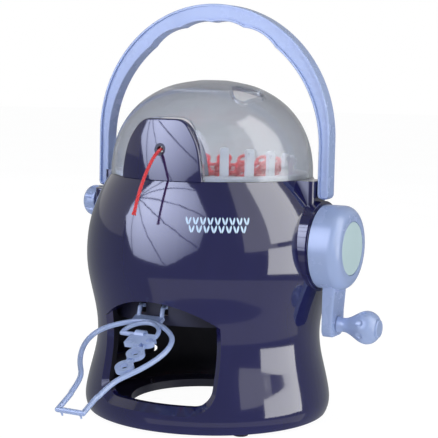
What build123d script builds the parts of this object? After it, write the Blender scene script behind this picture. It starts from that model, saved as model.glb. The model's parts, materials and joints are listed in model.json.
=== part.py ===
from build123d import *
from math import asin, cos, degrees, hypot, pi, radians, sin, sqrt, tan
import os

os.makedirs("parts", exist_ok=True)

# A hand-cranked spool knitter with a carry handle.  Millimetres, +Z up.
# The origin is on the needle cylinder's axis at the floor; the front window
# looks along -Y and the crank is on the +X side.

# ---------------------------------------------------------------- barrel body
foot_height = 1.5            # the feet lift the base ring off the floor
shell_base_z = 2.0
base_edge_r = 73.3
flare_r, flare_z = 75.3, 6.0
waist_r, waist_z = 68.1, 50.0
bulge_r, bulge_z = 75.3, 97.0
rim_r, rim_z = 61.5, 144.6
shoulder_power = 2.2         # how late the shoulder turns in to the rim
shell_wall = 2.5

# ------------------------------------------------------------- front window
window_half_width = 34.5
window_sill_z = 17.0
window_corner_r = 10.0
arch_r, arch_top_z = 60.2, 76.0
window_frame_depth = 8.0
window_frame_margin = 4.5
window_bevel = 4.2

# ---------------------------------------------------------- ears and bosses
handle_out_r, leg_thick = bulge_r + 3.2, 6.7
pivot_z = rim_z - 4.1
leg_end_z = pivot_z - 6.7
leg_sweep_r = 7.2            # how far the leg's end reaches from its pivot
ear_face_x, ear_half_width, ear_low_z = handle_out_r - leg_thick - 0.6, 10.0, 112.0
ear_round = 3.0
knob_boss_x, knob_boss_z, knob_boss_half_width = handle_out_r + 0.5, pivot_z - 17.0, 12.0
knob_boss_low_z = knob_boss_z - 15.0
step_top_z = pivot_z - leg_sweep_r - 0.4

# ------------------------------------------------------------- crank and hub
crank_z = 106.4
flange_r, flange_x = 26.5, bulge_r - 0.8
flange_step_r, flange_step_x = 25.2, flange_x + 0.7
cap_low_x = flange_step_x + 0.4
cap_r, cap_high_x, cap_round, cap_wall = 24.6, cap_low_x + 17.5, 6.5, 2.6
disc_r, disc_thick = 15.8, 1.6
arm_low_x = handle_out_r + 0.6
arm_high_x, arm_root_x = arm_low_x + 6.4, arm_low_x + 9.2
arm_width, arm_end, arm_corner_r = 19.0, 7.2, 5.0
crank_throw = 45.2
shaft_r, running_gap = 3.0, 0.05
bush_r, bush_low_x = 6.0, 66.5
knob_pin_r = 2.0
knob_low_x, knob_high_x = arm_high_x + 0.4, arm_high_x + 24.8
knob_neck_r, knob_bulge_r, knob_tip_r = 4.8, 9.7, 5.9
knob_flutes, flute_r = 8, 3.0

# ------------------------------------------------------------------ gearing
crown_teeth, pinion_teeth = 72, 12
crown_mean_r, tooth_face = 62.0, 6.0
gear_module = 2 * crown_mean_r / crown_teeth
pinion_pitch_r = pinion_teeth * gear_module / 2
tooth_up, tooth_down = 1.35, 1.75
crown_z = crank_z - pinion_pitch_r          # height of the pitch plane

# ------------------------------------------------- needles and their cylinder
needle_count = 20
needle_r = 48.5
needle_thick, needle_width = 2.4, 5.0
needle_low_z, needle_tip_z = 100.0, rim_z + 13.4   # at the middle of the travel
cam_rise = 6.0                              # half of the needle's travel
cam_high_angle = -75.0                      # where the cam stands highest
butt_low_z, butt_height, butt_tip_r = 110.0, 4.0, 53.2
slot_gap = 0.15
cylinder_in_r, cylinder_out_r = 42.0, 51.5
cylinder_low_z, cylinder_top_z = 89.0, rim_z + 1.6
cam_in_r, housing_in_r, housing_out_r = 53.6, 56.0, 58.2
housing_low_z, housing_top_z = 96.0, rim_z - 4.4
cylinder_lip_r, lip_low_z, lip_high_z = 53.3, housing_top_z - 3.5, housing_top_z - 0.6
deck_in_r, deck_out_r, deck_top_z = 52.3, rim_r - shell_wall - 0.3, rim_z + 2.8
bearing_z, bearing_thick, bearing_in_r = 84.0, 3.0, 44.0
skirt_out_r, skirt_in_r, skirt_low_z = 58.5, 56.0, 61.0

# --------------------------------------------------------------------- dome
dome_top_z, dome_wall, dome_foot_r = rim_z + 57.0, 2.0, rim_r - 0.2
port_corners = ((19.2, -15.7), (39.9, 0.3), (32.2, -32.7))
port_round, port_lip, port_lip_height = 4.0, 1.5, 0.9

# --------------------------------------------------------------- yarn tower
tower_x, tower_half_width, tower_top_z = -3.2, 27.2, rim_z + 34.9
tower_foot_r, tower_mid_r, tower_top_r, tower_back_r = rim_r + 0.6, rim_r - 0.5, rim_r - 5.0, rim_r - 7.6
tower_wall, tower_gap = 2.2, 0.5
eyelet_x, eyelet_z, eyelet_r, eyelet_bore_r = -1.4, rim_z + 17.4, 3.6, 2.0

# --------------------------------------------------------------- carry handle
arch_centre_z, handle_depth = rim_z + 23.9, 9.5
grip_drop, scallop_depth, scallop_count, scallop_angle = 5.0, 2.0, 4, 17.0
pivot_pin_r = 3.0
channel_depth, channel_rim = 1.3, 1.25

side_knob_r, side_knob_long, side_knob_round, side_knob_lobes, side_screw_r = 9.8, 10.0, 5.5, 8, 2.4

# ---------------------------------------------------------------- base ring
exit_r, base_ring_top_z = 47.0, 4.5
foot_circle_r, foot_r = 66.0, 4.6
screw_z, screw_x = (24.0, 69.5), (62.0, 63.2)
screw_boss_r, screw_r, screw_head_r, screw_depth = 3.6, 1.4, 2.8, 16.0

# ----------------------------------------------------- clip-on yarn frame
clip_x, clip_y, clip_z, clip_slope = -5.5, -60.0, 66.0, 25.0
rod_r = 1.5
clip_end_s = 91.0
prong_half_gap, prong_r = 7.6, 1.3
hook_pin_r, hook_pin_half, hook_pin_y, hook_pin_z = 1.2, 1.9, clip_y + 2.5, clip_z + 5.2
d_ring_x, d_ring_width, d_ring_top_s, d_ring_bar_s, d_ring_rod_r = 2.0, 25.0, 7.5, 19.5, 1.3
clamp_x, clamp_gap = 3.5, 0.15
small_ring_x, small_ring_out_r, small_ring_in_r, small_ring_thick = 9.8, 5.3, 2.5, 2.6
link_pin_r, link_pin_long, link_ear_r, link_ear_thick = 0.55, 4.2, 0.95, 0.9
link_above, link_below = 0.75, 1.25   # from a pin up to the piece that holds it, and down to its own ring

yarn_r = 1.05


# ============================================================ plain helpers
def save(name, shape):
    export_step(shape, f"parts/{name}.step")


def block(x_low, x_high, y_low, y_high, z_low, z_high):
    centre = ((x_low + x_high) / 2, (y_low + y_high) / 2, (z_low + z_high) / 2)
    return Pos(*centre) * Box(x_high - x_low, y_high - y_low, z_high - z_low)


def tube(r_out, r_in, z_low, z_high):
    return Pos(0, 0, z_low) * extrude(Circle(r_out) - Circle(r_in), z_high - z_low)


def rod_x(r, x_low, x_high, y=0, z=0):
    return Pos((x_low + x_high) / 2, y, z) * Rot(0, 90, 0) * Cylinder(r, abs(x_high - x_low))


def rod_y(r, y_low, y_high, x=0, z=0):
    return Pos(x, (y_low + y_high) / 2, z) * Rot(90, 0, 0) * Cylinder(r, abs(y_high - y_low))


def turned(curve):
    """Solid of revolution about Z under a curve drawn as (radius, 0, height)."""
    low, high = curve @ 0, curve @ 1
    edges = [curve, Line((0, 0, high.Z), (0, 0, low.Z)), Line((0, 0, low.Z), low)]
    if high.X > 0.01:
        edges.append(Line(high, (0, 0, high.Z)))
    return revolve(make_face(edges), Axis.Z)


def body_radius(z):
    """Outer radius of the barrel at height z."""
    if z < flare_z:
        return flare_r - (flare_r - base_edge_r) * ((flare_z - z) / (flare_z - shell_base_z)) ** 2
    if z < waist_z:
        share = (1 + cos(pi * (z - flare_z) / (waist_z - flare_z))) / 2
        return waist_r + (flare_r - waist_r) * share
    if z < bulge_z:
        share = (1 - cos(pi * (z - waist_z) / (bulge_z - waist_z))) / 2
        return waist_r + (bulge_r - waist_r) * share
    return bulge_r - (bulge_r - rim_r) * ((z - bulge_z) / (rim_z - bulge_z)) ** shoulder_power


def barrel_solid(inset, overshoot=0.0):
    low, high = shell_base_z - overshoot, rim_z + overshoot
    steps = 18
    heights = [low + (high - low) * i / steps for i in range(steps + 1)]
    return turned(Spline(*[(body_radius(z) - inset, 0, z) for z in heights]))


def front_half():
    return block(-130, 130, -130, 0, -5, 260)


# ================================================================ the shells
def window_cut(half_width, sill_z, corner_r, apex_z, depth):
    arch_z = apex_z - arch_r
    spring_z = arch_z + sqrt(arch_r ** 2 - half_width ** 2)
    outline = make_face([
        Line((-half_width, spring_z), (-half_width, sill_z + corner_r)),
        RadiusArc((-half_width, sill_z + corner_r), (corner_r - half_width, sill_z), -corner_r),
        Line((corner_r - half_width, sill_z), (half_width - corner_r, sill_z)),
        RadiusArc((half_width - corner_r, sill_z), (half_width, sill_z + corner_r), -corner_r),
        Line((half_width, sill_z + corner_r), (half_width, spring_z)),
        ThreePointArc((half_width, spring_z), (0, apex_z), (-half_width, spring_z)),
    ])
    return extrude(Plane.XZ * outline, depth)


def barrel():
    outer = barrel_solid(0)
    hollow = barrel_solid(shell_wall, overshoot=1.0)
    body = outer
    for side in (-1, 1):
        x_low, x_high = sorted((side * housing_out_r, side * ear_face_x))
        ear = block(x_low, x_high, -ear_half_width, ear_half_width, ear_low_z, rim_z)
        outer_edges = ear.edges().filter_by(Axis.Z).sort_by(lambda e: side * e.center().X)[-2:]
        body += fillet(outer_edges, ear_round)
    body += rod_x(flange_r, 60, flange_x, z=crank_z) + rod_x(flange_step_r, 60, flange_step_x, z=crank_z)
    # the side knob's boss, which is also a step under the handle's left leg
    knob_step = block(-knob_boss_x, -60, -knob_boss_half_width, knob_boss_half_width, knob_boss_low_z, step_top_z)
    outer_edges = [e for e in knob_step.edges().filter_by(Axis.Z) if e.center().X < -60.1]
    knob_step = fillet(outer_edges, 6.0)
    body += fillet([e for e in knob_step.edges() if e.center().X < -60.1 and e.center().Z > step_top_z - 0.1], 1.2)
    body -= hollow
    # a thick frame round the window, then the opening and its bevel
    frame = outer - barrel_solid(window_frame_depth, overshoot=1.0)
    grow = window_frame_margin
    frame &= window_cut(window_half_width + grow, window_sill_z - grow, window_corner_r + grow,
                        arch_top_z + grow, 90)
    body += frame
    body -= window_cut(window_half_width, window_sill_z, window_corner_r, arch_top_z, 90)
    rim_edges = [e for e in body.edges() if on_window_rim(e)]
    body = chamfer(rim_edges, window_bevel)
    # a ledge carries the bearing deck, and a boss carries the crank's bush
    ledge_r = body_radius(bearing_z - bearing_thick) - shell_wall / 2
    ledge_z = bearing_z - bearing_thick
    body += tube(ledge_r, ledge_r - shell_wall / 2 - 3.5, ledge_z - 2.5, ledge_z)
    body += rod_x(bush_r + 3, bush_low_x, flange_x - 1, z=crank_z)
    body -= rod_x(bush_r, bush_low_x - 1, flange_step_x + 1, z=crank_z)
    for side in (-1, 1):
        body -= rod_x(pivot_pin_r, *sorted((side * (rim_r + 0.5), side * (ear_face_x + 1))), z=pivot_z)
    body -= rod_x(side_screw_r + running_gap, -knob_boss_x - 1, -rim_r - 3.5, z=knob_boss_z)
    # screw columns, drilled from the rear
    for z, x in zip(screw_z, screw_x):
        for side in (-1, 1):
            column = rod_y(screw_boss_r, -screw_depth, 34, x=side * x, z=z)
            web_x = sorted((side * x, side * (body_radius(z) - shell_wall / 2)))
            web = block(*web_x, -screw_depth, screw_depth, z - 1.2, z + 1.2)
            body += (column + web) & outer
            body -= rod_y(screw_head_r + 0.3, 9, 60, x=side * x, z=z)
            body -= rod_y(screw_r, 3 - screw_depth, 10, x=side * x, z=z)
    return body


def on_window_rim(edge):
    """True for the outer edges of the window's sides, corners and sill."""
    for share in (0.1, 0.5, 0.9):
        p = edge @ share
        if p.Y > 0 or abs(hypot(p.X, p.Y) - body_radius(p.Z)) > 0.1:
            return False
        if abs(p.X) > window_half_width + 0.1 or p.Z < window_sill_z - 0.1:
            return False
    middle = edge @ 0.5
    return middle.Z < arch_top_z - 12


def shells():
    body = barrel()
    save("front_shell", body & front_half())
    save("rear_shell", body - front_half())
    screws = []
    for z, x in zip(screw_z, screw_x):
        for side in (-1, 1):
            head = rod_y(screw_head_r, 9, 11.4, x=side * x, z=z)
            slot = block(side * x - 0.4, side * x + 0.4, 10.6, 12, z - 2, z + 2)
            cross = block(side * x - 2, side * x + 2, 10.6, 12, z - 0.4, z + 0.4)
            screws.append(head + rod_y(screw_r, 4 - screw_depth, 9, x=side * x, z=z) - slot - cross)
    save("shell_screws", Compound(children=screws))


def base():
    ring_r = base_edge_r - shell_wall - 0.6
    ring = tube(ring_r, exit_r, foot_height, base_ring_top_z)
    inner_lip = tube(exit_r + 2.0, exit_r, foot_height, base_ring_top_z + 2.0)
    ring += inner_lip
    feet, screws = [], []
    for i in range(4):
        angle = 45 + 90 * i
        spot = Rot(0, 0, angle) * Pos(foot_circle_r, 0, 0)
        ring -= spot * Pos(0, 0, foot_height + 0.5) * Cylinder(foot_r - 1.2, 1.0)
        pad = Pos(0, 0, foot_height / 2) * Cylinder(foot_r, foot_height)
        pad = fillet(pad.edges().sort_by(Axis.Z)[0], 0.6)
        feet.append(spot * (pad + Pos(0, 0, foot_height + 0.5) * Cylinder(foot_r - 1.2, 1.0)))
        post = Rot(0, 0, angle + 24) * Pos(exit_r + 8, 0, 0)
        ring -= post * Pos(0, 0, 3) * Cylinder(screw_r, 6)
        ring -= post * Pos(0, 0, foot_height) * Cylinder(screw_head_r + 0.2, 2.4)
        head = Pos(0, 0, foot_height + 0.6) * Cylinder(screw_head_r, 1.1)
        screws.append(post * (head + Pos(0, 0, 4.0) * Cylinder(screw_r, 6.0)))
    save("base_ring", ring)
    save("feet", Compound(children=feet))
    save("base_screws", Compound(children=screws))


# ===================================================== mechanism, fixed parts
def mechanism():
    plate_r = body_radius(bearing_z - bearing_thick) - shell_wall - 0.3
    deck = tube(plate_r, bearing_in_r, bearing_z - bearing_thick, bearing_z)
    deck += tube(skirt_out_r, skirt_in_r, skirt_low_z, bearing_z - bearing_thick)
    for side in (-1, 1):
        x = clip_x + side * prong_half_gap
        deck -= block(x - 2.2, x + 2.2, -70, -40, clip_z + 0.5, clip_z + 7.5)
    save("bearing_deck", deck)

    housing = tube(housing_out_r, housing_in_r, housing_low_z, housing_top_z)
    flange_out = body_radius(housing_top_z) - shell_wall - 0.2
    housing += tube(flange_out, housing_in_r, housing_top_z - 3, housing_top_z)
    save("mechanism_housing", housing)

    cam = tube(housing_in_r, cam_in_r, housing_low_z, butt_low_z + cam_rise + 2)
    tilt = degrees(asin(cam_rise / hypot(cam_rise, butt_tip_r)))
    above = Pos(0, 0, butt_low_z) * Rot(0, 0, cam_high_angle) * Rot(0, -tilt, 0) * Pos(0, 0, 20) * Box(200, 200, 40)
    save("cam_ring", cam - above)

    ring = tube(deck_out_r, deck_in_r, housing_top_z, deck_top_z)
    save("deck_ring", fillet(ring.edges().group_by(Axis.Z)[-1], 0.8))


# ============================================== cylinder, crown gear, needles
def needle_height(i):
    """How far needle i stands above the middle of its travel at rest."""
    return cam_rise * cos(radians(360 * i / needle_count - cam_high_angle))


def rotating_set():
    drum = tube(cylinder_out_r, cylinder_in_r, cylinder_low_z, cylinder_top_z)
    drum += tube(cylinder_lip_r, cylinder_out_r - 1, lip_low_z, lip_high_z)
    slot_in = needle_r - needle_thick / 2 - slot_gap
    slot = block(slot_in, 60, -needle_width / 2 - slot_gap, needle_width / 2 + slot_gap,
                 cylinder_low_z + 3, cylinder_top_z + 1)
    for i in range(needle_count):
        drum -= Rot(0, 0, 360 * i / needle_count) * slot
    save("needle_cylinder", drum)

    tooth_root_z, tooth_tip_z = crown_z - tooth_down, crown_z + tooth_up
    half = tooth_face / 2
    gear = tube(crown_mean_r + half + 1, bearing_in_r + 0.5, bearing_z + 0.4, cylinder_low_z)
    gear += tube(crown_mean_r + half + 1, crown_mean_r - half - 1, cylinder_low_z - 1, tooth_root_z)
    root_half, tip_half = 1.25, 0.6
    profile = Plane.YZ * make_face(Polyline((-root_half, tooth_root_z - 0.2), (root_half, tooth_root_z - 0.2),
                                            (tip_half, tooth_tip_z), (-tip_half, tooth_tip_z), close=True))
    tooth = Pos(crown_mean_r - half, 0, 0) * extrude(profile, tooth_face)
    for i in range(crown_teeth):
        gear += Rot(0, 0, 360 * i / crown_teeth) * tooth
    save("crown_gear", gear)

    for i in range(needle_count):
        angle, lift = 360 * i / needle_count, needle_height(i)
        save(f"needle_{i + 1:02d}", Rot(0, 0, angle) * Pos(0, 0, lift) * needle())


def needle():
    half, thick = needle_width / 2, needle_thick / 2
    low, tip = needle_low_z, needle_tip_z
    blade = block(needle_r - thick, needle_r + thick, -half, half, low, tip)
    head_edges = [e for e in blade.edges().filter_by(Axis.X) if e.center().Z > tip - 0.1]
    blade = fillet(head_edges, 1.8)
    hook = block(needle_r + thick, needle_r + thick + 1.4, -half + 1, half - 1, tip - 4.5, tip - 1.9)
    throat = block(needle_r + thick, needle_r + thick + 0.7, -half, half, tip - 5.5, tip - 3.2)
    butt = block(needle_r + thick, butt_tip_r, -half + 0.5, half - 0.5, butt_low_z, butt_low_z + butt_height)
    return blade + (hook - throat) + butt


# ================================================================= the crank
def crank():
    bush = rod_x(bush_r, bush_low_x, flange_step_x - 0.2, z=crank_z)
    save("shaft_bush", bush - rod_x(shaft_r + running_gap, bush_low_x - 1, flange_step_x + 1, z=crank_z))

    pinion_low_x = crown_mean_r - tooth_face / 2 + 0.1
    pinion_high_x = pinion_low_x + tooth_face - 0.2
    save("crank_shaft", rod_x(shaft_r, pinion_low_x, cap_high_x - 5, z=crank_z))

    root_r, tip_r = pinion_pitch_r - tooth_down, pinion_pitch_r + tooth_up
    pinion = rod_x(root_r, pinion_low_x, pinion_high_x, z=crank_z)
    root_half, tip_half = 1.25, 0.6
    profile = Plane.YZ * make_face(Polyline((-root_half, root_r - 1), (root_half, root_r - 1),
                                            (tip_half, tip_r), (-tip_half, tip_r), close=True))
    tooth = extrude(profile, pinion_high_x - pinion_low_x)
    for i in range(pinion_teeth):
        turn = 360 * (i + 0.5) / pinion_teeth
        pinion += Pos(pinion_low_x, 0, crank_z) * Rot(turn, 0, 0) * tooth
    pinion -= rod_x(shaft_r, pinion_low_x - 1, pinion_high_x + 1, z=crank_z)
    save("bevel_pinion", pinion)

    cap = rod_x(cap_r, cap_low_x, cap_high_x, z=crank_z)
    cap = fillet(cap.edges().sort_by(Axis.X)[-1], cap_round)
    cap -= rod_x(cap_r - cap_wall, cap_low_x - 1, cap_high_x - cap_wall - 2.4, z=crank_z)
    cap += rod_x(8, cap_low_x, cap_high_x - 3, z=crank_z)
    knob_z = crank_z - crank_throw
    arm_low_z = knob_z - arm_end
    side = Polyline((arm_low_x, 0, arm_low_z), (arm_high_x, 0, arm_low_z), (arm_high_x, 0, knob_z + arm_end),
                    (arm_root_x, 0, crank_z), (arm_low_x, 0, crank_z), close=True)
    arm = extrude(make_face(side), arm_width / 2, both=True)
    arm = fillet([e for e in arm.edges().filter_by(Axis.X) if e.center().Z < knob_z], arm_corner_r)
    arm = fillet([e for e in arm.edges() if on_outer_side(e)], 1.5)
    arm -= rod_x(cap_r - cap_wall, arm_low_x - 1, arm_root_x + 1, z=crank_z)
    crank_arm = cap + arm
    crank_arm -= rod_x(disc_r, cap_high_x - disc_thick, cap_high_x + 1, z=crank_z)
    crank_arm -= rod_x(shaft_r, cap_low_x - 1, cap_high_x - 5, z=crank_z)
    crank_arm -= rod_x(1.5, cap_low_x, cap_high_x + 1, z=crank_z)
    crank_arm -= rod_x(3.4, cap_high_x - 3.6, cap_high_x, z=crank_z)
    crank_arm -= rod_x(knob_pin_r, arm_low_x + 1.5, arm_high_x + 1, z=knob_z)
    save("crank_arm", crank_arm)

    disc = rod_x(disc_r - 0.25, cap_high_x - disc_thick, cap_high_x, z=crank_z)
    save("crank_disc", fillet(disc.edges().sort_by(Axis.X)[-1], 0.5))
    screw = rod_x(3.2, cap_high_x - 3.6, cap_high_x - disc_thick - 0.1, z=crank_z)
    screw += rod_x(1.5, cap_high_x - 5, cap_high_x - 3.6, z=crank_z)
    save("crank_screw", screw)

    save("knob_pin", rod_x(knob_pin_r, arm_low_x + 1.5, knob_high_x - 2, z=knob_z))
    save("crank_knob", knob(knob_z))
    tip = rod_x(knob_tip_r - 0.6, knob_high_x - 1.9, knob_high_x + 1.2, z=knob_z)
    save("knob_cap", fillet(tip.edges().sort_by(Axis.X)[-1], 0.8))


def on_outer_side(edge):
    """True for the edges round the crank arm's outer face, below its root."""
    middle = edge @ 0.5
    return middle.X > arm_high_x - 0.1 and middle.Z < crank_z - 1 and abs((edge @ 0).Y - (edge @ 1).Y) < arm_width - 1


def knob(z):
    """The pear-shaped grip, dented round its bulge, that spins on the pin."""
    low, high = knob_low_x, knob_high_x
    reach = high - low
    outline = [Line((low, 0, 0), (low, 0, knob_neck_r)),
               Spline((low, 0, knob_neck_r), (low + 0.26 * reach, 0, knob_neck_r - 0.1),
                      (low + 0.48 * reach, 0, 0.78 * knob_bulge_r), (low + 0.7 * reach, 0, knob_bulge_r),
                      (low + 0.9 * reach, 0, 0.88 * knob_bulge_r), (high, 0, knob_tip_r)),
               Line((high, 0, knob_tip_r), (high, 0, 0)),
               Line((high, 0, 0), (low, 0, 0))]
    grip = revolve(make_face(outline), Axis.X)
    dent_low, dent_high = low + 0.42 * reach, low + 0.66 * reach
    for i in range(knob_flutes):
        dent = rod_x(flute_r, dent_low, dent_high, z=knob_bulge_r + flute_r - 1.0)
        dent += Pos(dent_low, 0, knob_bulge_r + flute_r - 1.0) * Sphere(flute_r)
        dent += Pos(dent_high, 0, knob_bulge_r + flute_r - 1.0) * Sphere(flute_r)
        grip -= Rot(360 * (i + 0.5) / knob_flutes, 0, 0) * dent
    grip = Pos(0, 0, z) * grip
    grip -= rod_x(knob_pin_r + running_gap, low - 1, high - 1.9, z=z)
    return grip - rod_x(knob_tip_r - 0.6, high - 1.9, high + 1, z=z)


# =================================================================== the dome
def dome_curve(inset):
    rise = dome_top_z - rim_z
    bulge = 2.25                        # a little squarer than an ellipse
    points = []
    for turn in (0, 12, 24, 36, 48, 60, 72, 82, 90):
        c, s = cos(radians(turn)), sin(radians(turn))
        r = dome_foot_r * c ** (2 / bulge) if turn < 90 else 0
        z = rim_z + rise * s ** (2 / bulge)
        points.append((r * (1 - inset / dome_foot_r), 0, rim_z + (z - rim_z) * (1 - inset / rise)))
    return Spline(*points, tangents=[(0, 0, 1), (-1, 0, 0)])


def tower_outline(margin):
    """The tower's front outline, grown by a margin, extruded to -Y."""
    half, top = tower_half_width + margin, tower_top_z + margin
    low = rim_z - 2
    edges = [Line((-half, low), (half, low)),
             Spline((half, low), (half - 0.8, rim_z + 7.5), (half - 3.0, rim_z + 18.5), (half - 8.6, rim_z + 29.0),
                    (8, top), tangents=[(0, 1), (-1, 0)]),
             Line((8, top), (-8, top)),
             Spline((-8, top), (8.6 - half, rim_z + 29.0), (3.0 - half, rim_z + 18.5), (0.8 - half, rim_z + 7.5),
                    (-half, low), tangents=[(-1, 0), (0, -1)])]
    return Pos(tower_x, 0, 0) * extrude(Plane.XZ * make_face(edges), 90)


def port_prism(margin):
    corners = make_face(Polyline(*port_corners, close=True))
    rounded = fillet(corners.vertices(), port_round)
    grown = offset(rounded, margin) if margin else rounded
    return Pos(0, 0, dome_top_z - 23.6) * extrude(grown, 40)


def dome():
    outer, inner = turned(dome_curve(0)), turned(dome_curve(dome_wall))
    shell = outer - inner
    lip = turned(dome_curve(-port_lip_height)) - inner
    shell += lip & port_prism(port_lip)
    shell -= port_prism(0)
    shell -= tower_outline(tower_gap) - block(-60, 60, -48, 60, 100, 260)
    save("dome", shell)


def tower_turned(inset):
    """The tower's face turned about Z: upright at its foot, leaning back at its top."""
    low, high = rim_z - inset / 2, tower_top_z + 1
    face = ThreePointArc((tower_foot_r - inset, 0, low), (tower_mid_r - inset, 0, (rim_z + high) / 2),
                         (tower_top_r - inset, 0, high))
    return turned(face)


def tower():
    block_out = tower_turned(0) & tower_outline(0)
    block_out -= Pos(0, 0, rim_z + 16.5) * Cylinder(tower_back_r, 100)
    block_out &= block(-60, 60, -90, -30, rim_z - 3.5, dome_top_z)
    outer_edges = [e for e in block_out.edges() if soft_tower_edge(e)]
    block_out = fillet(outer_edges, 1.6)
    block_out -= tower_turned(tower_wall) & tower_outline(-tower_wall)
    block_out -= Pos(0, 0, (deck_top_z + 0.3) / 2) * Cylinder(deck_out_r + 0.35, deck_top_z + 0.3)
    block_out -= rod_y(eyelet_r, -80, -40, x=eyelet_x, z=eyelet_z)
    save("yarn_tower", block_out)

    face_y = -tower_mid_r
    ring = rod_y(eyelet_r, face_y + 0.3, face_y + tower_wall + 1.5, x=eyelet_x, z=eyelet_z)
    ring -= rod_y(eyelet_bore_r, -80, -40, x=eyelet_x, z=eyelet_z)
    save("yarn_eyelet", ring)


def soft_tower_edge(edge):
    """The long outer edges round the tower's face, not those at its foot."""
    middle = edge @ 0.5
    near_front = hypot(middle.X, middle.Y) > (tower_top_r + tower_back_r) / 2 + 0.6
    return near_front and middle.Z > rim_z + 1


# =============================================================== carry handle
def handle_outline(shrink):
    """The arch with its legs; the inner arch sits lower, so the grip is thicker."""
    outer_r, inner_r = handle_out_r - shrink, handle_out_r - leg_thick + shrink
    grip_centre_z = arch_centre_z - grip_drop
    end_r = leg_thick / 2 - shrink
    low_z = leg_end_z + leg_thick / 2
    edges = [ThreePointArc((outer_r, arch_centre_z), (0, arch_centre_z + outer_r), (-outer_r, arch_centre_z)),
             Line((-outer_r, arch_centre_z), (-outer_r, low_z)),
             ThreePointArc((-outer_r, low_z), (end_r - outer_r, low_z - end_r), (-inner_r, low_z)),
             Line((-inner_r, low_z), (-inner_r, grip_centre_z)),
             ThreePointArc((-inner_r, grip_centre_z), (0, grip_centre_z + inner_r), (inner_r, grip_centre_z)),
             Line((inner_r, grip_centre_z), (inner_r, low_z)),
             ThreePointArc((inner_r, low_z), (outer_r - end_r, low_z - end_r), (outer_r, low_z)),
             Line((outer_r, low_z), (outer_r, arch_centre_z))]
    outline = make_face(edges)
    # finger scallops: each is an arc that dips into the grip's inner edge
    edge_r = handle_out_r - leg_thick
    half_chord = edge_r * sin(radians(scallop_angle / 2))
    cut_r = (half_chord ** 2 + scallop_depth ** 2) / (2 * scallop_depth)
    for i in range(scallop_count):
        turn = (i - (scallop_count - 1) / 2) * scallop_angle
        spot = Pos(0, grip_centre_z) * Rot(0, 0, turn) * Pos(0, edge_r + scallop_depth - cut_r)
        outline -= spot * Circle(cut_r + shrink)
    return outline


def handle():
    inner_r = handle_out_r - leg_thick
    solid = extrude(Plane.XZ * handle_outline(0), handle_depth / 2, both=True)
    rim_edges = [e for e in solid.edges() if abs(abs(e.center().Y) - handle_depth / 2) < 0.01]
    solid = chamfer(rim_edges, 0.35)
    # the legs' ends are round about the pivot, so that they clear the steps
    solid -= block(-90, 90, -20, 20, leg_end_z - 5, pivot_z) - rod_x(leg_sweep_r, -90, 90, z=pivot_z)
    groove = handle_outline(channel_rim)
    for face_y in (-handle_depth / 2 + channel_depth, handle_depth / 2 + 1):
        solid -= Pos(0, face_y, 0) * extrude(Plane.XZ * groove, channel_depth + 1)
    for side in (-1, 1):
        span = sorted((side * (inner_r - 1), side * (handle_out_r - 1.0)))
        solid -= rod_x(pivot_pin_r + running_gap, *span, z=pivot_z)
    save("carry_handle", solid)
    pins = [rod_x(pivot_pin_r, *sorted((side * (rim_r + 1), side * (handle_out_r - 1.2))), z=pivot_z)
            for side in (-1, 1)]
    save("handle_pins", Compound(children=pins))


def side_knob():
    """A domed knob with finger lobes on the left step, and the screw through it."""
    low, high = -knob_boss_x - 0.3 - side_knob_long, -knob_boss_x - 0.3
    disc = rod_x(side_knob_r, low, high, z=knob_boss_z)
    disc = fillet(disc.edges().sort_by(Axis.X)[0], side_knob_round)
    for i in range(side_knob_lobes):
        groove = rod_x(2.2, low - 1, high - 1.0, z=side_knob_r + 1.2)
        disc -= Pos(0, 0, knob_boss_z) * Rot(360 * (i + 0.5) / side_knob_lobes, 0, 0) * groove
    disc -= rod_x(side_screw_r, low + 4, high + 1, z=knob_boss_z)
    save("side_knob", disc)
    save("side_knob_screw", rod_x(side_screw_r, low + 4, -rim_r - 4.5, z=knob_boss_z))


# ======================================================== clip-on yarn frame
slope = radians(clip_slope)
clip_plane = Plane(origin=(clip_x, clip_y, clip_z), x_dir=(1, 0, 0), z_dir=(0, sin(slope), -cos(slope)))


def rod_along(path, r):
    start = path @ 0
    section = Plane(origin=start, z_dir=path % 0) * Circle(r)
    return sweep(section, path=path)


def ball(x, s, r):
    return Pos(x, s, 0) * Sphere(r)


def yarn_frame():
    # right half of the bottle outline, from its top to the narrow end
    half = [(0, 6.0), (14.0, 10.5), (24.0, 20.0), (26.0, 30.0), (23.5, 41.0), (17.0, 53.0),
            (11.0, 63.0), (8.6, 76.0), (8.0, clip_end_s)]
    loop = None
    for side in (-1, 1):
        points = [(side * x, s, 0) for x, s in half]
        arm = rod_along(Spline(*points, tangents=[(side, 0, 0), (0, 1, 0)]), rod_r)
        loop = arm if loop is None else loop + arm
    bar = Pos(0, clip_end_s, 0) * Rot(0, 90, 0) * Cylinder(rod_r, 16.0)
    loop += bar + ball(-8, clip_end_s, rod_r) + ball(8, clip_end_s, rod_r)
    loop += Pos(0, 4.5, 0) * Box(2 * prong_half_gap + 3.5, 5.5, 2.2)
    for side in (-1, 1):
        loop += Pos(side * 6.0, clip_end_s, 2.2) * Cone(0.7, 0.45, 3.2)
    body = clip_plane * (loop + Pos(d_ring_x, 0, 0) * d_ring())
    for side in (-1, 1):
        x = clip_x + side * prong_half_gap
        foot, knee = (x, clip_y - 2.0, clip_z - 0.8), (x, clip_y - 0.6, clip_z + 4.6)
        tip = (x, clip_y + 3.6, clip_z + 5.4)
        body += rod_along(Line(foot, knee), prong_r) + Pos(*knee) * Sphere(prong_r)
        body += rod_along(Line(knee, tip), prong_r * 0.85)
        body += rod_x(hook_pin_r, x - hook_pin_half, x + hook_pin_half, y=hook_pin_y, z=hook_pin_z)
    save("yarn_frame", body)


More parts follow.
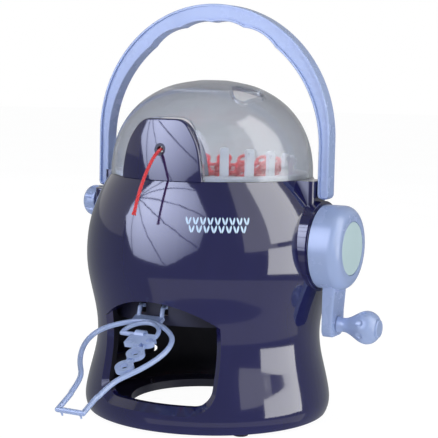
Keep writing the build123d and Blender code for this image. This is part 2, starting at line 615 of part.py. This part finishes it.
def d_ring():
    """The half-round ring moulded under the top of the loop."""
    r = d_ring_width / 2 - d_ring_rod_r
    arc = ThreePointArc((-r, d_ring_bar_s, 0), (0, d_ring_top_s, 0), (r, d_ring_bar_s, 0))
    ring = rod_along(arc, d_ring_rod_r)
    ring += Pos(0, d_ring_bar_s, 0) * Rot(0, 90, 0) * Cylinder(d_ring_rod_r, 2 * r)
    ring += ball(-r, d_ring_bar_s, d_ring_rod_r) + ball(r, d_ring_bar_s, d_ring_rod_r)
    return ring


def clips():
    """The clamp that snaps on the D ring's bar, and the two small rings under it."""
    bore_r, bar_s = d_ring_rod_r + clamp_gap, d_ring_bar_s
    holder = Pos(0, bar_s, 0) * Rot(0, 90, 0) * Cylinder(bore_r + 1.4, 6.0)
    holder += Pos(0, bar_s + 6.0, 0) * Box(10.5, 8.5, 3.2)
    holder += Pos(8.2, bar_s + 5.4, 0) * Cylinder(4.2, 3.0)
    holder -= Pos(8.8, bar_s + 5.4, 0) * Cylinder(2.0, 8.0)
    holder -= Pos(11.7, bar_s + 5.4, 0) * Box(5.0, 2.0, 8.0)
    holder -= Pos(0, bar_s, 0) * Rot(0, 90, 0) * Cylinder(bore_r, 40)
    holder -= Pos(0, bar_s, 3.0) * Box(40, 1.7 * bore_r, 6.0)
    holder_end = bar_s + 10.25
    first_pin = holder_end + link_above
    holder = Pos(clamp_x, 0, 0) * holder + link_ears(holder_end - 0.4, first_pin)
    save("clamp_block", clip_plane * holder)
    pitch = 2 * small_ring_out_r + link_above + link_below
    for name, pin_s in (("ring_upper", first_pin), ("ring_lower", first_pin + pitch)):
        s = pin_s + link_below + small_ring_out_r
        ring = Pos(small_ring_x, s, 0) * Cylinder(small_ring_out_r, small_ring_thick)
        ring += Pos(small_ring_x, pin_s, 0) * Rot(0, 90, 0) * Cylinder(link_pin_r, link_pin_long)
        ring += Pos(small_ring_x, pin_s + 0.9, 0) * Box(1.6, 1.8, 2 * link_pin_r)
        if name == "ring_upper":
            ring += link_ears(s + small_ring_out_r - 0.9, pin_s + pitch)
        ring -= Pos(small_ring_x, s, 0) * Cylinder(small_ring_in_r, 10)
        save(name, clip_plane * ring)


def link_ears(from_s, pin_s):
    """Two small ears with a hole each, which hold the next ring's pin."""
    ears = None
    for side in (-1, 1):
        x = small_ring_x + side * (0.8 + link_pin_r + link_ear_thick / 2)
        ear = Pos(x, (from_s + pin_s) / 2, 0) * Box(link_ear_thick, pin_s - from_s, 2 * link_ear_r)
        ear += Pos(x, pin_s, 0) * Rot(0, 90, 0) * Cylinder(link_ear_r, link_ear_thick)
        ear -= Pos(x, pin_s, 0) * Rot(0, 90, 0) * Cylinder(link_pin_r + running_gap, 5)
        ears = ear if ears is None else ears + ear
    return ears


# ========================================================= yarn and knitting
def corner_radii(points):
    """Each corner's radius: 0.45 of the shorter run over tan of half the turn."""
    radii = []
    for a, b, c in zip(points, points[1:], points[2:]):
        before, after = Vector(*b) - Vector(*a), Vector(*c) - Vector(*b)
        half_turn = radians(before.get_angle(after)) / 2
        radii.append(0.45 * min(before.length, after.length) / tan(half_turn))
    return radii


def yarn(name, points):
    radii = corner_radii(points)
    path = FilletPolyline(*points, radius=radii)
    print(name, "radii", [round(r, 1) for r in radii], "length", round(path.length, 1))
    save(name, rod_along(path, yarn_r))


def from_eyelet(offsets):
    return [(eyelet_x + x, y, eyelet_z + z) for x, y, z in offsets]


def soft_parts():
    yarn("yarn_tail", from_eyelet([(0, -59.2, 0.3), (-0.1, -64.6, -1.8), (-0.3, -70.6, -7.2), (-0.4, -76.6, -14.4),
                                   (-0.5, -81.4, -22.0), (-0.6, -84.8, -28.8), (-0.7, -87.2, -35.4)]))
    yarn("yarn_inner", from_eyelet([(0, -59.2, 0.3), (0.1, -55.4, -0.2), (2.0, -54.6, -4.8), (5.2, -53.9, -9.2),
                                    (10.5, -53.0, -11.8), (16.5, -51.6, -12.6)]))
    inner_r, flare, cloth = 38.4, needle_r - needle_thick / 2 - 0.4, 1.4
    section = [(inner_r, -37.5), (inner_r + cloth, -37.5), (inner_r + cloth, 1.5), (inner_r + 3.2, 3.5),
               (flare, 4.9), (flare, 12.5), (flare - cloth, 12.5), (flare - cloth, 6.3),
               (inner_r + 1.6, 4.9), (inner_r, 2.5)]
    face = make_face(Polyline(*[(r, 0, rim_z + z) for r, z in section], close=True))
    save("knitted_tube", revolve(face, Axis.Z))


shells()
base()
mechanism()
rotating_set()
crank()
dome()
tower()
handle()
side_knob()
yarn_frame()
clips()
soft_parts()
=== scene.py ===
import json
import math
import random

import bpy
from mathutils import Matrix, Vector
from mathutils.bvhtree import BVHTree


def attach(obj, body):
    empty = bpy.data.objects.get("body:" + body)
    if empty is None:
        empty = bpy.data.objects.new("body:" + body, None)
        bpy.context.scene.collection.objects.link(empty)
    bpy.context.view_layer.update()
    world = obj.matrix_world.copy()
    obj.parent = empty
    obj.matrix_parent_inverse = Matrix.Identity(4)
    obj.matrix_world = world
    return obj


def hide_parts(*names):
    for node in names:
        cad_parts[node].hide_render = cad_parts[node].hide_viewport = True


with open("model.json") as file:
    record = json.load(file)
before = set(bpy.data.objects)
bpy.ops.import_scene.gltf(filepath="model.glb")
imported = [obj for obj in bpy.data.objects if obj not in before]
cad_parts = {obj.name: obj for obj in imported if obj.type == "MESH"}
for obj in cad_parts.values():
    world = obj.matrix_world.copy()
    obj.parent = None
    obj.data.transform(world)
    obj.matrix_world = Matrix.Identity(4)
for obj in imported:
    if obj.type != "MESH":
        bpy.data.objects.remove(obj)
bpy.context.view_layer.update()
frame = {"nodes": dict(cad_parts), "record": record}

# The looks of a hand-cranked spool knitter.  Metres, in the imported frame.
MM = 0.001
nodes = frame["nodes"]


# ------------------------------------------------------------ small helpers
def link(obj):
    bpy.context.scene.collection.objects.link(obj)
    return obj


def mesh_object(name, verts, faces, material=None, smooth=True):
    mesh = bpy.data.meshes.new(name)
    mesh.from_pydata([tuple(v) for v in verts], [], faces)
    mesh.validate()
    if smooth:
        mesh.shade_smooth()
    if material:
        mesh.materials.append(material)
    return link(bpy.data.objects.new(name, mesh))


def on_circle(azimuth, radius, z):
    """A point round the object: azimuth 0 is the front, 90 the crank's side."""
    a = math.radians(azimuth)
    return Vector((radius * math.sin(a), -radius * math.cos(a), z))


def tube_along(points, radius, sides=10, closed=False, taper=None):
    """Vertices and faces of a round tube along points, with no twist in it."""
    count = len(points)
    verts, faces = [], []
    normal = None
    for i, p in enumerate(points):
        before = points[i - 1] if (i or closed) else p
        after = points[(i + 1) % count] if (i < count - 1 or closed) else p
        tangent = (after - before).normalized()
        if normal is None:
            seed = Vector((0, 0, 1)) if abs(tangent.z) < 0.8 else Vector((1, 0, 0))
            normal = tangent.cross(seed).normalized()
        normal = (normal - tangent * normal.dot(tangent)).normalized()
        side = tangent.cross(normal)
        r = radius * (taper(i / (count - 1)) if taper else 1.0)
        for k in range(sides):
            a = 2 * math.pi * k / sides
            verts.append(p + normal * (r * math.cos(a)) + side * (r * math.sin(a)))
    rings = count if closed else count - 1
    for i in range(rings):
        for k in range(sides):
            a, b = i * sides + k, i * sides + (k + 1) % sides
            c, d = ((i + 1) % count) * sides + (k + 1) % sides, ((i + 1) % count) * sides + k
            faces.append((a, b, c, d))
    if not closed:
        faces.append(tuple(reversed(range(sides))))
        faces.append(tuple((count - 1) * sides + k for k in range(sides)))
    return verts, faces


def joined(parts):
    """One list of vertices and faces from several."""
    verts, faces = [], []
    for part_verts, part_faces in parts:
        start = len(verts)
        verts.extend(part_verts)
        faces.extend(tuple(i + start for i in face) for face in part_faces)
    return verts, faces


# --------------------------------------------------------------- materials
def new_material(name):
    material = bpy.data.materials.new(name)
    material.use_nodes = True
    return material, material.node_tree, material.node_tree.nodes["Principled BSDF"]


def add(tree, kind, **inputs):
    node = tree.nodes.new(kind)
    for key, value in inputs.items():
        node.inputs[key.replace("_", " ")].default_value = value
    return node


def object_noise(tree, scale, detail=3.0, roughness=0.55, stretch=None):
    """Noise in the object's own metres; stretch squeezes it along the axes."""
    coords = tree.nodes.new("ShaderNodeTexCoord")
    noise = add(tree, "ShaderNodeTexNoise", Scale=scale, Detail=detail, Roughness=roughness)
    source = coords.outputs["Object"]
    if stretch:
        mapping = tree.nodes.new("ShaderNodeMapping")
        mapping.inputs["Scale"].default_value = stretch
        tree.links.new(source, mapping.inputs["Vector"])
        source = mapping.outputs["Vector"]
    tree.links.new(source, noise.inputs["Vector"])
    return noise


def ranged(tree, source, low, high, start=0.3, end=0.7):
    node = add(tree, "ShaderNodeMapRange", From_Min=start, From_Max=end, To_Min=low, To_Max=high)
    tree.links.new(source, node.inputs["Value"])
    return node.outputs["Result"]


def two_tone(tree, factor, dark, light):
    node = tree.nodes.new("ShaderNodeMix")
    node.data_type = "RGBA"
    node.inputs["A"].default_value = (*dark, 1)
    node.inputs["B"].default_value = (*light, 1)
    tree.links.new(factor, node.inputs["Factor"])
    return node.outputs["Result"]


def bumped(tree, shader, layers):
    """Chains (height, strength, distance) layers of bump into the shader."""
    normal = None
    for height, strength, distance in layers:
        bump = add(tree, "ShaderNodeBump", Strength=strength, Distance=distance)
        tree.links.new(height, bump.inputs["Height"])
        if normal:
            tree.links.new(normal, bump.inputs["Normal"])
        normal = bump.outputs["Normal"]
    tree.links.new(normal, shader.inputs["Normal"])


def plastic(name, colour, roughness, spread=0.05, shade=0.12, grain=900.0, grain_depth=0.000012,
            sink=0.15, coat=0.0, subsurface=0.0):
    """Moulded plastic: faint flow mottling, uneven gloss, sink waves and fine grain."""
    material, tree, shader = new_material(name)
    flow = object_noise(tree, 22.0, 4.0, 0.6, stretch=(1.0, 1.0, 0.45))
    dark = [c * (1 - shade) for c in colour]
    light = [min(1.0, c * (1 + shade)) for c in colour]
    mottled = two_tone(tree, ranged(tree, flow.outputs["Fac"], 0, 1), dark, light)
    tree.links.new(mottled, shader.inputs["Base Color"])
    smear = object_noise(tree, 70.0, 5.0, 0.65)
    tree.links.new(ranged(tree, smear.outputs["Fac"], roughness - spread, roughness + spread),
                   shader.inputs["Roughness"])
    waves = object_noise(tree, 45.0, 1.0)
    fine = object_noise(tree, grain, 2.0)
    bumped(tree, shader, [(waves.outputs["Fac"], sink, 0.0004), (fine.outputs["Fac"], 0.5, grain_depth)])
    shader.inputs["Coat Weight"].default_value = coat
    shader.inputs["Coat Roughness"].default_value = 0.04
    shader.inputs["Subsurface Weight"].default_value = subsurface
    shader.inputs["Subsurface Radius"].default_value = (0.004, 0.004, 0.005)
    shader.inputs["Subsurface Scale"].default_value = 0.5
    return material


def metal(name, colour, roughness, stretch):
    material, tree, shader = new_material(name)
    brushed = object_noise(tree, 300.0, 4.0, 0.7, stretch=stretch)
    dark = [c * 0.8 for c in colour]
    streaked = two_tone(tree, ranged(tree, brushed.outputs["Fac"], 0, 1), dark, colour)
    tree.links.new(streaked, shader.inputs["Base Color"])
    uneven = ranged(tree, brushed.outputs["Fac"], roughness - 0.08, roughness + 0.1)
    tree.links.new(uneven, shader.inputs["Roughness"])
    bumped(tree, shader, [(brushed.outputs["Fac"], 0.4, 0.00002)])
    shader.inputs["Metallic"].default_value = 1.0
    return material


def frosted(name):
    """Faintly hazy clear plastic: milky where it is seen edge on, clear face on."""
    material, tree, shader = new_material(name)
    cloud = object_noise(tree, 16.0, 3.0, 0.5)
    clouded = two_tone(tree, ranged(tree, cloud.outputs["Fac"], 0, 1), (0.70, 0.73, 0.77), (0.76, 0.79, 0.83))
    tree.links.new(clouded, shader.inputs["Base Color"])
    tree.links.new(ranged(tree, cloud.outputs["Fac"], 0.10, 0.15), shader.inputs["Roughness"])
    fine = object_noise(tree, 1500.0, 2.0)
    bumped(tree, shader, [(fine.outputs["Fac"], 0.2, 0.000004)])
    shader.inputs["Transmission Weight"].default_value = 1.0
    shader.inputs["IOR"].default_value = 1.12
    shader.inputs["Specular IOR Level"].default_value = 0.8
    shader.inputs["Coat Weight"].default_value = 1.0
    shader.inputs["Coat Roughness"].default_value = 0.12
    # a milky share of haze, stronger where the wall is seen edge on
    haze = add(tree, "ShaderNodeBsdfDiffuse")
    haze.inputs["Color"].default_value = (0.36, 0.38, 0.415, 1)
    rim = add(tree, "ShaderNodeLayerWeight", Blend=0.35)
    share = ranged(tree, rim.outputs["Facing"], 0.08, 0.42, 0.0, 1.0)
    mixed = tree.nodes.new("ShaderNodeMixShader")
    tree.links.new(share, mixed.inputs["Fac"])
    tree.links.new(shader.outputs["BSDF"], mixed.inputs[1])
    tree.links.new(haze.outputs["BSDF"], mixed.inputs[2])
    tree.links.new(mixed.outputs["Shader"], tree.nodes["Material Output"].inputs["Surface"])
    return material


def wool(name, colour, fibre_scale=1800.0):
    """Yarn: fibres along and across the ply, darker between, soft sheen."""
    material, tree, shader = new_material(name)
    fibre = object_noise(tree, fibre_scale, 4.0, 0.7, stretch=(1.0, 1.0, 0.4))
    dark = [c * 0.62 for c in colour]
    shaded = two_tone(tree, ranged(tree, fibre.outputs["Fac"], 0, 1), dark, colour)
    tree.links.new(shaded, shader.inputs["Base Color"])
    bumped(tree, shader, [(fibre.outputs["Fac"], 0.8, 0.00015)])
    shader.inputs["Roughness"].default_value = 0.85
    shader.inputs["Sheen Weight"].default_value = 0.5
    shader.inputs["Sheen Roughness"].default_value = 0.4
    shader.inputs["Subsurface Weight"].default_value = 0.08
    shader.inputs["Subsurface Radius"].default_value = (0.002, 0.0006, 0.0005)
    return material


NAVY = (0.014, 0.014, 0.088)
BLUE = (0.36, 0.46, 0.74)
materials = {
    "navy_plastic": plastic("navy_gloss", NAVY, 0.10, spread=0.03, grain=700.0, grain_depth=0.000004,
                            sink=0.07, coat=1.0),
    "dark_plastic": plastic("dark_moulding", (0.012, 0.012, 0.03), 0.36, shade=0.25),
    "white_plastic": plastic("white_acetal", (0.93, 0.94, 0.94), 0.32, shade=0.03, grain_depth=0.000006,
                             sink=0.06, subsurface=0.15),
    "blue_plastic": plastic("light_blue_moulding", BLUE, 0.26, shade=0.04, grain=1100.0, grain_depth=0.000004,
                            sink=0.05, coat=0.2, subsurface=0.08),
    "pale_disc": plastic("pale_disc_satin", (0.50, 0.66, 0.69), 0.45, shade=0.04, grain=1400.0),
    "frosted_dome": frosted("frosted_clear"),
    "steel": metal("zinc_plated_steel", (0.62, 0.62, 0.64), 0.28, (6.0, 0.3, 6.0)),
    "brass": metal("sintered_brass", (0.62, 0.46, 0.22), 0.38, (1.0, 1.0, 1.0)),
    "red_yarn": wool("red_wool", (0.86, 0.035, 0.05)),
}
print_blue = plastic("print_blue", (0.50, 0.66, 0.86), 0.4, shade=0.06, grain=1800.0)
# unpolished inside of the shells; its near-black colour, far darker than the navy, is painted shade for the
# shadowed inside
satin_inside_painted_shade = plastic("navy_inside_painted_shade", (0.004, 0.004, 0.010), 0.62, shade=0.3, grain=500.0,
                       grain_depth=0.00003)

for part in frame["record"]["subparts"]:
    obj = nodes[part["node"]]
    obj.data.materials.clear()
    obj.data.materials.append(materials[part["material_slot"]])


def split_inside(name):
    """Gives the faces that look in towards the axis the unpolished finish, whose near-black colour is painted
    shade.
    """
    mesh = nodes[name].data
    mesh.materials.append(satin_inside_painted_shade)
    for face in mesh.polygons:
        outward = Vector((face.center.x, face.center.y, 0)).normalized()
        facing = face.normal.dot(outward)
        buried = math.hypot(face.center.x, face.center.y) < INSIDE_RADIUS
        if facing < -0.3 or buried:
            face.material_index = 1


INSIDE_RADIUS = 0.0605
for shell_name in ("front_shell", "rear_shell"):
    split_inside(shell_name)


# ------------------------------------------------------------------ camera
LENS, SENSOR = 106.85, 36.0          # millimetres
CAMERA_AZIMUTH, CAMERA_DISTANCE, CAMERA_HEIGHT = 28.0, 0.790, 0.203
CAMERA_PITCH, CAMERA_ROLL, FRAME_SHIFT = 6.2, 1.2, 0.018


def make_camera():
    data = bpy.data.cameras.new("camera")
    data.sensor_width = SENSOR
    data.lens = LENS
    data.shift_x = FRAME_SHIFT
    data.clip_start = 0.01
    data.clip_end = 50.0
    camera = link(bpy.data.objects.new("camera", data))
    a, t, r = (math.radians(x) for x in (CAMERA_AZIMUTH, CAMERA_PITCH, CAMERA_ROLL))
    forward = Vector((-math.sin(a) * math.cos(t), math.cos(a) * math.cos(t), -math.sin(t)))
    level = Vector((math.cos(a), math.sin(a), 0))
    upright = level.cross(forward)
    right = level * math.cos(r) + upright * math.sin(r)
    up = upright * math.cos(r) - level * math.sin(r)
    turn = Matrix((right, up, -forward)).transposed().to_4x4()
    camera.matrix_world = Matrix.Translation(on_circle(CAMERA_AZIMUTH, CAMERA_DISTANCE, CAMERA_HEIGHT)) @ turn
    bpy.context.scene.camera = camera


make_camera()


# ------------------------------------------------------------------- yarn
YARN_DIAMETER = 2.1 * MM
EYELET = Vector((-1.4, 0, 162.0))
TAIL_ROUTE = [(0, -59.2, 0.3), (-0.1, -64.6, -1.8), (-0.3, -70.6, -7.2), (-0.4, -76.6, -14.4),
              (-0.5, -81.4, -22.0), (-0.6, -84.8, -28.8), (-0.7, -87.2, -35.4)]
INNER_ROUTE = [(0, -59.2, 0.3), (0.1, -55.4, -0.2), (2.0, -54.6, -4.8), (5.2, -53.9, -9.2),
               (10.5, -53.0, -11.8), (16.5, -51.6, -12.6)]


def route_points(name, route):
    """The points of one NURBS spline through a route given in millimetres."""
    curve = bpy.data.curves.new(name, "CURVE")
    curve.dimensions = "3D"
    curve.resolution_u = 16
    spline = curve.splines.new("NURBS")
    spline.points.add(len(route) - 1)
    for point, place in zip(spline.points, route):
        point.co = (*((c + e) * MM for c, e in zip(place, EYELET)), 1)
    spline.order_u = 3
    spline.use_endpoint_u = True
    holder = bpy.data.objects.new(name, curve)
    mesh = bpy.data.meshes.new_from_object(holder)
    points = [v.co.copy() for v in mesh.vertices]
    bpy.data.meshes.remove(mesh)
    bpy.data.objects.remove(holder)
    bpy.data.curves.remove(curve)
    return points


def evenly(points, step):
    """The same line with its points a step apart."""
    out, left = [points[0]], step
    for a, b in zip(points, points[1:]):
        span = (b - a).length
        along = left
        while along <= span:
            out.append(a.lerp(b, along / span))
            along += step
        left = along - span
    return out


def plied(points, diameter, plies=3, pitch=7.0 * MM, splay=0.0):
    """Twisted plies round a line; splay opens them out at the far, cut end."""
    ply_r = diameter * 0.27
    core_r = diameter / 2 - ply_r
    strands = []
    total = len(points) - 1
    lengths = [0.0]
    for a, b in zip(points, points[1:]):
        lengths.append(lengths[-1] + (b - a).length)
    for k in range(plies):
        line = []
        for i, p in enumerate(points):
            tangent = (points[min(i + 1, total)] - points[max(i - 1, 0)]).normalized()
            side = tangent.cross(Vector((1, 0, 0))).normalized()
            other = tangent.cross(side)
            a = 2 * math.pi * (lengths[i] / pitch + k / plies)
            open_up = 1.0 + splay * max(0.0, (i / total - 0.93) / 0.07) ** 2
            line.append(p + (side * math.cos(a) + other * math.sin(a)) * core_r * open_up)
        strands.append(tube_along(line, ply_r, sides=9))
    return joined(strands)


def fuzz(points, diameter, per_mm, seed):
    """Short stray fibres that stand off the yarn."""
    rng = random.Random(seed)
    hairs = []
    total = len(points) - 1
    length = sum((b - a).length for a, b in zip(points, points[1:]))
    for _ in range(int(length / MM * per_mm)):
        i = rng.randrange(1, total)
        tangent = (points[i + 1] - points[i - 1]).normalized()
        anyway = Vector((rng.uniform(-1, 1), rng.uniform(-1, 1), rng.uniform(-1, 1)))
        side = tangent.cross(anyway).normalized()
        start = points[i] + side * diameter * 0.40
        reach = rng.uniform(0.5, 1.3) * MM
        lean = tangent * rng.uniform(-0.8, 0.8) + side * rng.uniform(0.15, 0.55)
        middle = start + lean * reach * 0.5
        end = middle + (lean + side * rng.uniform(-0.6, 0.3)) * reach * 0.5
        hairs.append(tube_along([start, middle, end], 0.035 * MM, sides=4))
    return joined(hairs)


def make_yarn():
    wool_red = materials["red_yarn"]
    tail_line = evenly(route_points("tail_route", TAIL_ROUTE), 0.45 * MM)
    tail = mesh_object("yarn_tail_plies", *plied(tail_line, YARN_DIAMETER, splay=0.9), wool_red)
    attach(tail, "frame")
    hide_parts("yarn_tail")
    tail_fuzz = mesh_object("yarn_tail_fuzz", *fuzz(tail_line, YARN_DIAMETER, 5.0, 3), wool_red)
    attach(tail_fuzz, "frame")
    inner_line = evenly(route_points("inner_route", INNER_ROUTE), 0.45 * MM)
    inner = mesh_object("yarn_inner_plies", *plied(inner_line, YARN_DIAMETER), wool_red)
    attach(inner, "frame")
    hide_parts("yarn_inner")


make_yarn()


# ------------------------------------------------------------ knitted tube
WALES = 20                       # one column of loops for each needle
KNIT_YARN_R = 1.1 * MM
COURSE_RISE = 5.0 * MM
LOOP_HEIGHT, LOOP_DEPTH, LOOP_LEAN = 4.1 * MM, 0.95 * MM, 2.0 * MM   # half swings of one stitch
HEM = 4.2 * MM                   # from either end of the cloth to its last course
STEPS_PER_WALE = 22
# the cloth's section: radius and height, in millimetres
FABRIC = [(38.9, 108.0), (38.9, 144.0), (39.6, 147.6), (42.2, 150.0), (44.4, 151.6), (44.6, 156.0)]


def along_fabric(distance):
    """(radius, height) at a distance up the cloth's section, in metres."""
    for (r0, z0), (r1, z1) in zip(FABRIC, FABRIC[1:]):
        span = math.hypot(r1 - r0, z1 - z0) * MM
        if distance <= span:
            share = distance / span
            return (r0 + (r1 - r0) * share) * MM, (z0 + (z1 - z0) * share) * MM
        distance -= span
    return FABRIC[-1][0] * MM, FABRIC[-1][1] * MM


def make_knit():
    total = sum(math.hypot(b[0] - a[0], b[1] - a[1]) for a, b in zip(FABRIC, FABRIC[1:])) * MM
    courses = int((total - 2 * HEM) / COURSE_RISE) + 1
    steps = WALES * STEPS_PER_WALE
    parts = []
    for course in range(courses):
        base = HEM + course * COURSE_RISE
        line = []
        for i in range(steps):
            turn = 2 * math.pi * i / steps
            phase = WALES * turn
            distance = base + LOOP_HEIGHT * math.cos(phase)
            radius, height = along_fabric(distance)
            radius += LOOP_DEPTH * math.cos(2 * phase)
            angle = turn + LOOP_LEAN / radius * math.sin(2 * phase)
            line.append(Vector((radius * math.cos(angle), radius * math.sin(angle), height)))
        parts.append(tube_along(line, KNIT_YARN_R, sides=8, closed=True))
    knit = mesh_object("knitted_tube_stitches", *joined(parts), materials["red_yarn"])
    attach(knit, "cylinder")
    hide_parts("knitted_tube")


make_knit()


# ----------------------------------------------------- generic printed mark
MARK_HEIGHT, MARK_AZIMUTH = 0.1215, 31.0


def make_mark():
    """Two rows of leaf-shaped knit stitches printed on the front shell."""
    shell = nodes["front_shell"].data
    surface = BVHTree.FromPolygons([v.co for v in shell.vertices],
                                   [tuple(p.vertices) for p in shell.polygons])

    def on_shell(azimuth, z):
        start = on_circle(azimuth, 0.12, z)
        centre = Vector((0, 0, z))
        hit, normal, _, _ = surface.ray_cast(start, (centre - start).normalized())
        return hit + normal * (0.04 * MM if normal.dot(start - centre) > 0 else -0.04 * MM)

    verts, faces = [], []
    pitch, leg_middle, lean, half_width = 3.3, 0.66, 0.434, 0.46       # degrees round the body
    half_height, row_rise = 2.1 * MM, 4.4 * MM
    for row, count in enumerate((9, 8)):
        for i in range(count):
            middle = MARK_AZIMUTH + (i - (count - 1) / 2) * pitch
            height = MARK_HEIGHT + (0.5 - row) * row_rise
            for side in (-1, 1):
                start, steps = len(verts), 6
                for k in range(steps + 1):
                    share = k / steps * 2 - 1
                    azimuth = middle + side * (leg_middle + lean * share)
                    swell = half_width * max(0.02, 1 - share * share) ** 0.5
                    for edge in (-1, 1):
                        verts.append(on_shell(azimuth + edge * swell, height + share * half_height))
                for k in range(steps):
                    a = start + 2 * k
                    faces.append((a, a + 1, a + 3, a + 2))
    mark = mesh_object("stitch_mark", verts, faces, print_blue)
    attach(mark, "frame")


make_mark()


# --------------------------------------------------------- floor and light
LIGHT_CENTRE = Vector((0, 0, 0.12))


def emitter(name, strength, colour=(1, 1, 1)):
    material = bpy.data.materials.new(name)
    material.use_nodes = True
    tree = material.node_tree
    tree.nodes.clear()
    glow = tree.nodes.new("ShaderNodeEmission")
    glow.inputs["Color"].default_value = (*colour, 1)
    glow.inputs["Strength"].default_value = strength
    out = tree.nodes.new("ShaderNodeOutputMaterial")
    tree.links.new(glow.outputs["Emission"], out.inputs["Surface"])
    return material


def seen_at(azimuth, elevation, away):
    """The point that far from the object's middle, in a direction given in degrees."""
    e = math.radians(elevation)
    return LIGHT_CENTRE + on_circle(azimuth, away * math.cos(e), away * math.sin(e))


def card(name, azimuths, elevations, radius, material, lean=0.0, steps=16):
    """A curved card over a patch of directions; its foot is turned on by lean degrees."""
    verts, faces = [], []
    for i in range(steps + 1):
        for k in range(steps + 1):
            azimuth = azimuths[0] + (azimuths[1] - azimuths[0]) * i / steps + lean * (1 - k / steps)
            elevation = elevations[0] + (elevations[1] - elevations[0]) * k / steps
            verts.append(seen_at(azimuth, elevation, radius))
    row = steps + 1
    for i in range(steps):
        for k in range(steps):
            a = i * row + k
            faces.append((a, a + 1, a + row + 1, a + row))
    panel = mesh_object(name, verts, faces, material)
    panel.visible_camera = False
    panel.visible_diffuse = False
    return panel


def make_umbrella():
    """An eight-sided photographic umbrella, whose ribs show in the gloss."""
    distance, crown_distance = 0.90, 1.02
    middle, half_spread, crown = (-18.0, 23.0), (44.0, 33.0), (-57.0, 31.0)   # azimuth, elevation
    verts = [seen_at(*crown, crown_distance)]
    for k in range(8):
        a = math.radians(10 + 45 * k)
        azimuth = middle[0] + half_spread[0] * math.cos(a)
        elevation = middle[1] + half_spread[1] * math.sin(a)
        verts.append(seen_at(azimuth, elevation, distance))
    faces = [(0, 1 + k, 1 + (k + 1) % 8) for k in range(8)]
    glow = hot_spot("umbrella_glow", seen_at(-34, 34, distance), 0.80, 7.0)
    cloth = mesh_object("umbrella", verts, faces, glow, smooth=False)
    black, _, shader = new_material("umbrella_rib_black")
    shader.inputs["Base Color"].default_value = (0.01, 0.01, 0.01, 1)
    inward = (LIGHT_CENTRE - verts[0]).normalized() * 0.012
    ribs = joined([tube_along([verts[0] + inward, verts[1 + k] + inward], 0.006, sides=6) for k in range(8)])
    rib_object = mesh_object("umbrella_ribs", *ribs, black)
    for obj in (cloth, rib_object):
        obj.visible_camera = False
        obj.visible_diffuse = False


def hot_spot(name, centre, reach, strength):
    """An emitter that is brightest at a point and falls off round it."""
    material = emitter(name, strength, (0.80, 0.86, 1.14))
    tree = material.node_tree
    place = tree.nodes.new("ShaderNodeNewGeometry")
    away = tree.nodes.new("ShaderNodeVectorMath")
    away.operation = "DISTANCE"
    away.inputs[1].default_value = centre
    tree.links.new(place.outputs["Position"], away.inputs[0])
    glow = next(n for n in tree.nodes if n.type == "EMISSION")
    fading = ranged(tree, away.outputs["Value"], strength, 0.2 * strength, 0.15, reach)
    tree.links.new(fading, glow.inputs["Strength"])
    return material


def soft_lamp(name, azimuth, distance, height, size, energy):
    """A broad lamp that shades the matt parts and leaves no glint of its own."""
    light = bpy.data.lights.new(name, "AREA")
    light.shape = "DISK"
    light.size = size
    light.energy = energy
    lamp = link(bpy.data.objects.new(name, light))
    lamp.location = on_circle(azimuth, distance, height)
    lamp.visible_camera = False
    lamp.visible_glossy = False
    lamp.visible_transmission = False
    lamp.rotation_euler = (LIGHT_CENTRE - lamp.location).to_track_quat("-Z", "Y").to_euler()


def make_stage():
    # the floor and the paper behind glow white, as in a cut-out studio shot
    floor_mat, tree, shader = new_material("pale_floor")
    paper = object_noise(tree, 6.0, 2.0)
    flecks = ranged(tree, paper.outputs["Fac"], 0, 1)
    speckled = two_tone(tree, flecks, (0.10, 0.10, 0.10), (0.13, 0.13, 0.13))
    tree.links.new(speckled, shader.inputs["Base Color"])
    shader.inputs["Roughness"].default_value = 0.9
    shader.inputs["Emission Color"].default_value = (1, 1, 1, 1)
    shader.inputs["Emission Strength"].default_value = 0.96
    shader.inputs["Specular IOR Level"].default_value = 0.0
    size = 8.0
    corners = [(-size, -size, 0), (size, -size, 0), (size, size, 0), (-size, size, 0)]
    floor = mesh_object("floor", corners, [(0, 1, 2, 3)], floor_mat)
    floor.visible_glossy = False
    back = mesh_object("white_paper", *backdrop_shape(), emitter("paper_glow", 1.0))
    back.visible_diffuse = False
    back.visible_glossy = False

    card("softbox_upper", (76, 116), (6, 62), 1.1, emitter("softbox_upper_glow", 4.0), lean=7.0)
    card("softbox_spill", (52, 84), (2, 58), 1.2, emitter("softbox_spill_glow", 1.1), lean=6.0)
    card("softbox_lower", (80, 122), (-14, 3), 1.1, emitter("softbox_lower_glow", 4.0))
    card("front_fill", (-30, 130), (-34, -19), 1.3, emitter("front_fill_glow", 0.5))
    card("rear_fill", (120, 300), (5, 50), 1.6, emitter("rear_fill_glow", 0.45))
    make_umbrella()
    soft_lamp("front_lamp", -22, 1.5, 0.70, 1.1, 26.0)
    soft_lamp("side_lamp", 68, 1.4, 0.55, 0.9, 18.0)
    soft_lamp("top_lamp", 60, 0.3, 1.7, 1.0, 8.0)
    soft_lamp("needle_lamp", 0, 0.0, 0.195, 0.06, 0.035)    # under the dome, which shades the rest

    world = bpy.data.worlds.new("white_room")
    world.use_nodes = True
    world.node_tree.nodes["Background"].inputs["Color"].default_value = (0.92, 0.96, 1, 1)
    world.node_tree.nodes["Background"].inputs["Strength"].default_value = 0.24
    bpy.context.scene.world = world
    bpy.context.scene.view_settings.view_transform = "Standard"


def backdrop_shape():
    """A wide drum of paper far behind everything, open at the bottom."""
    radius, height, steps = 7.5, 7.0, 48
    verts, faces = [], []
    for i in range(steps):
        verts += [on_circle(360 * i / steps, radius, -0.2), on_circle(360 * i / steps, radius, height)]
    for i in range(steps):
        a, b = 2 * i, 2 * ((i + 1) % steps)
        faces.append((a, b, b + 1, a + 1))
    faces.append(tuple(2 * i + 1 for i in range(steps)))
    return verts, faces


make_stage()
